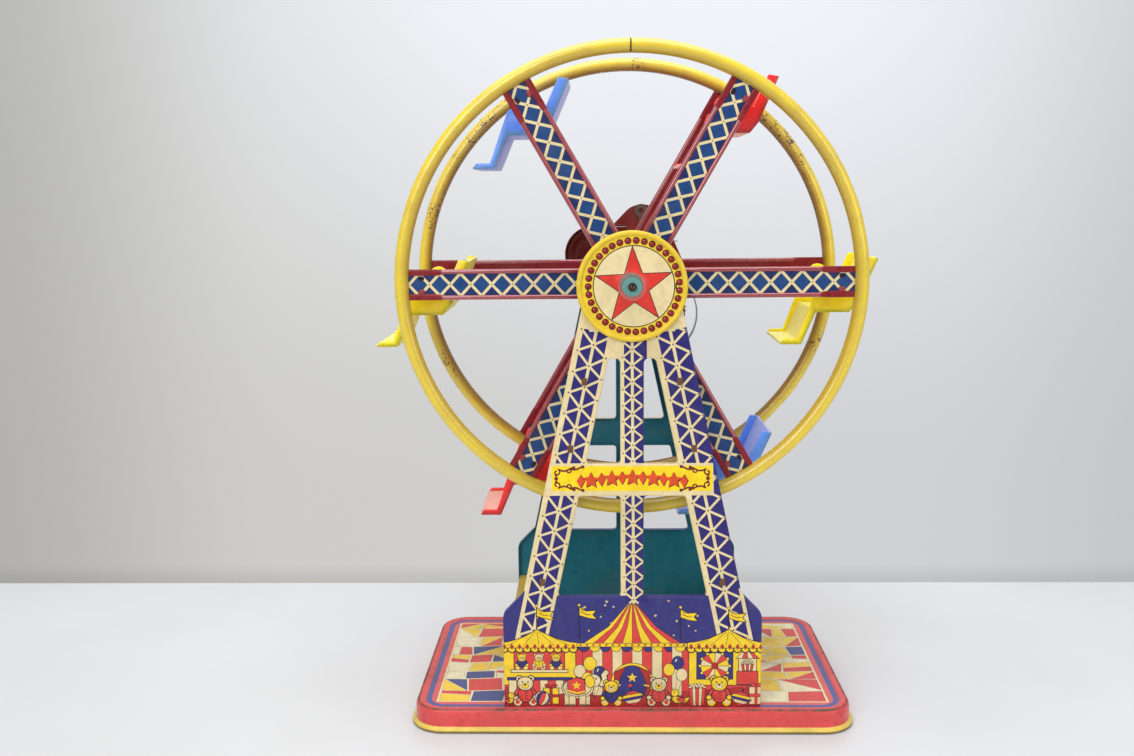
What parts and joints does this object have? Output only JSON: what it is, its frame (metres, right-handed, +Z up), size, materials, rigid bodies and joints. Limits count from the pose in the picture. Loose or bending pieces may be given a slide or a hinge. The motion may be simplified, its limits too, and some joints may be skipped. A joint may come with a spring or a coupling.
{
  "type": "toy ferris wheel",
  "caption": "Lithographed tin toy ferris wheel with plastic seats hanging between the towers of a tray base, clockwork motor and winding crank behind.",
  "frame": {"origin": "bottom centre of the whole toy's box, on the table under the tray, with every seat hanging level", "axes": "+Z up; +Y from the star disc at the front towards the motor and crank at the back, along the wheel's axle; +X to the right seen from the front"},
  "size_m": [0.3236, 0.2, 0.432],
  "materials": {
    "tray": "lithographed tin, worn gloss",
    "tower": "lithographed tin, worn gloss",
    "side_wall": "enamelled tin, worn gloss",
    "star_disc": "lithographed tin, worn gloss",
    "bronzed_tin": "bronze lacquered tin",
    "brass": "dull machined brass",
    "motor_plate": "dark red enamel, worn at the edges",
    "steel": "bright drawn steel, dulled",
    "spring_steel": "blued spring steel",
    "bell": "dark red enamel",
    "rim": "yellow enamel, chipped and rust specked",
    "spoke": "lithographed tin, worn gloss",
    "hub": "red enamel",
    "washer": "teal enamel",
    "seat_yellow": "translucent moulded plastic",
    "seat_red": "translucent moulded plastic",
    "seat_blue": "translucent moulded plastic",
    "knob": "turned wood, red stain worn at the end"
  },
  "bodies": {
    "frame": {"base_tray": "tray", "front_tower": "tower", "rear_tower": "tower", "left_side_wall": "side_wall", "right_side_wall": "side_wall", "front_star_disc": "star_disc", "front_leg_channels": "bronzed_tin", "rear_leg_channels": "bronzed_tin", "axle_bushes": "brass", "motor_front_plate": "motor_plate", "motor_rear_plate": "motor_plate", "motor_pillars": "steel", "motor_rivets": "steel", "mainspring": "spring_steel", "bell": "bell", "bell_post": "steel", "pivot_studs": "steel"},
    "wheel": {"front_rim": "rim", "rear_rim": "rim", "front_spoke_1": "spoke", "front_spoke_2": "spoke", "front_spoke_3": "spoke", "front_spoke_4": "spoke", "front_spoke_5": "spoke", "front_spoke_6": "spoke", "rear_spoke_1": "spoke", "rear_spoke_2": "spoke", "rear_spoke_3": "spoke", "rear_spoke_4": "spoke", "rear_spoke_5": "spoke", "rear_spoke_6": "spoke", "front_hub": "hub", "rear_hub": "hub", "hub_tube": "steel", "main_axle": "steel", "axle_washer": "washer", "seat_axles": "steel", "drive_pinion": "steel", "train_wheel": "brass"},
    "hanging_seat_1": {"seat_1": "seat_yellow"},
    "hanging_seat_2": {"seat_2": "seat_red"},
    "hanging_seat_3": {"seat_3": "seat_blue"},
    "hanging_seat_4": {"seat_4": "seat_yellow"},
    "hanging_seat_5": {"seat_5": "seat_red"},
    "hanging_seat_6": {"seat_6": "seat_blue"},
    "great": {"great_wheel": "brass", "ratchet_click": "steel"},
    "crank": {"winding_arbor": "steel", "ratchet_wheel": "steel", "crank_arm": "steel"},
    "knob": {"crank_knob": "knob"},
    "second": {"second_arbor": "steel", "second_wheel": "brass"},
    "fly": {"fly_arbor": "steel", "fly_vane": "brass"},
    "striker": {"bell_striker": "steel"},
    "lever": {"stop_lever": "steel"}
  },
  "joints": [
    {"name": "wheel_spin", "type": "hinge", "parent": "frame", "child": "wheel", "pos_m": [0.00315, -0.0165, 0.284], "axis": [0, 1, 0], "continuous": true},
    {"name": "seat_swing_1", "type": "hinge", "parent": "wheel", "child": "hanging_seat_1", "pos_m": [0.13415, -0.0165, 0.284], "axis": [0, 1, 0], "continuous": true},
    {"name": "seat_swing_2", "type": "hinge", "parent": "wheel", "child": "hanging_seat_2", "pos_m": [0.06865, -0.0165, 0.39745], "axis": [0, 1, 0], "continuous": true},
    {"name": "seat_swing_3", "type": "hinge", "parent": "wheel", "child": "hanging_seat_3", "pos_m": [-0.06235, -0.0165, 0.39745], "axis": [0, 1, 0], "continuous": true},
    {"name": "seat_swing_4", "type": "hinge", "parent": "wheel", "child": "hanging_seat_4", "pos_m": [-0.12785, -0.0165, 0.284], "axis": [0, 1, 0], "continuous": true},
    {"name": "seat_swing_5", "type": "hinge", "parent": "wheel", "child": "hanging_seat_5", "pos_m": [-0.06235, -0.0165, 0.17055], "axis": [0, 1, 0], "continuous": true},
    {"name": "seat_swing_6", "type": "hinge", "parent": "wheel", "child": "hanging_seat_6", "pos_m": [0.06865, -0.0165, 0.17055], "axis": [0, 1, 0], "continuous": true},
    {"name": "great_wheel_turn", "type": "hinge", "parent": "frame", "child": "great", "pos_m": [0.0204, 0.0727, 0.2547], "axis": [0, 1, 0], "continuous": true},
    {"name": "second_arbor_turn", "type": "hinge", "parent": "frame", "child": "second", "pos_m": [0.01655, 0.0705, 0.30675], "axis": [0, 1, 0], "continuous": true},
    {"name": "fly_turn", "type": "hinge", "parent": "frame", "child": "fly", "pos_m": [0.03135, 0.0705, 0.30435], "axis": [0, 1, 0], "continuous": true},
    {"name": "crank_turn", "type": "hinge", "parent": "frame", "child": "crank", "pos_m": [0.0204, 0.0835, 0.2547], "axis": [0, 1, 0], "continuous": true},
    {"name": "knob_spin", "type": "hinge", "parent": "crank", "child": "knob", "pos_m": [0.0204, 0.093, 0.2247], "axis": [0, 1, 0], "continuous": true},
    {"name": "striker_swing", "type": "hinge", "parent": "frame", "child": "striker", "pos_m": [-0.02685, 0.0789, 0.26], "axis": [0, 1, 0], "range_deg": [0, 2.5]},
    {"name": "stop_lever_swing", "type": "hinge", "parent": "frame", "child": "lever", "pos_m": [0.02015, 0.0587, 0.296], "axis": [0, -1, 0], "range_deg": [0, 14]}
  ],
  "couplings": [
    {"joint": "great_wheel_turn", "follows": "wheel_spin", "ratio": -0.21429},
    {"joint": "second_arbor_turn", "follows": "wheel_spin", "ratio": -4.5},
    {"joint": "fly_turn", "follows": "wheel_spin", "ratio": 18}
  ]
}
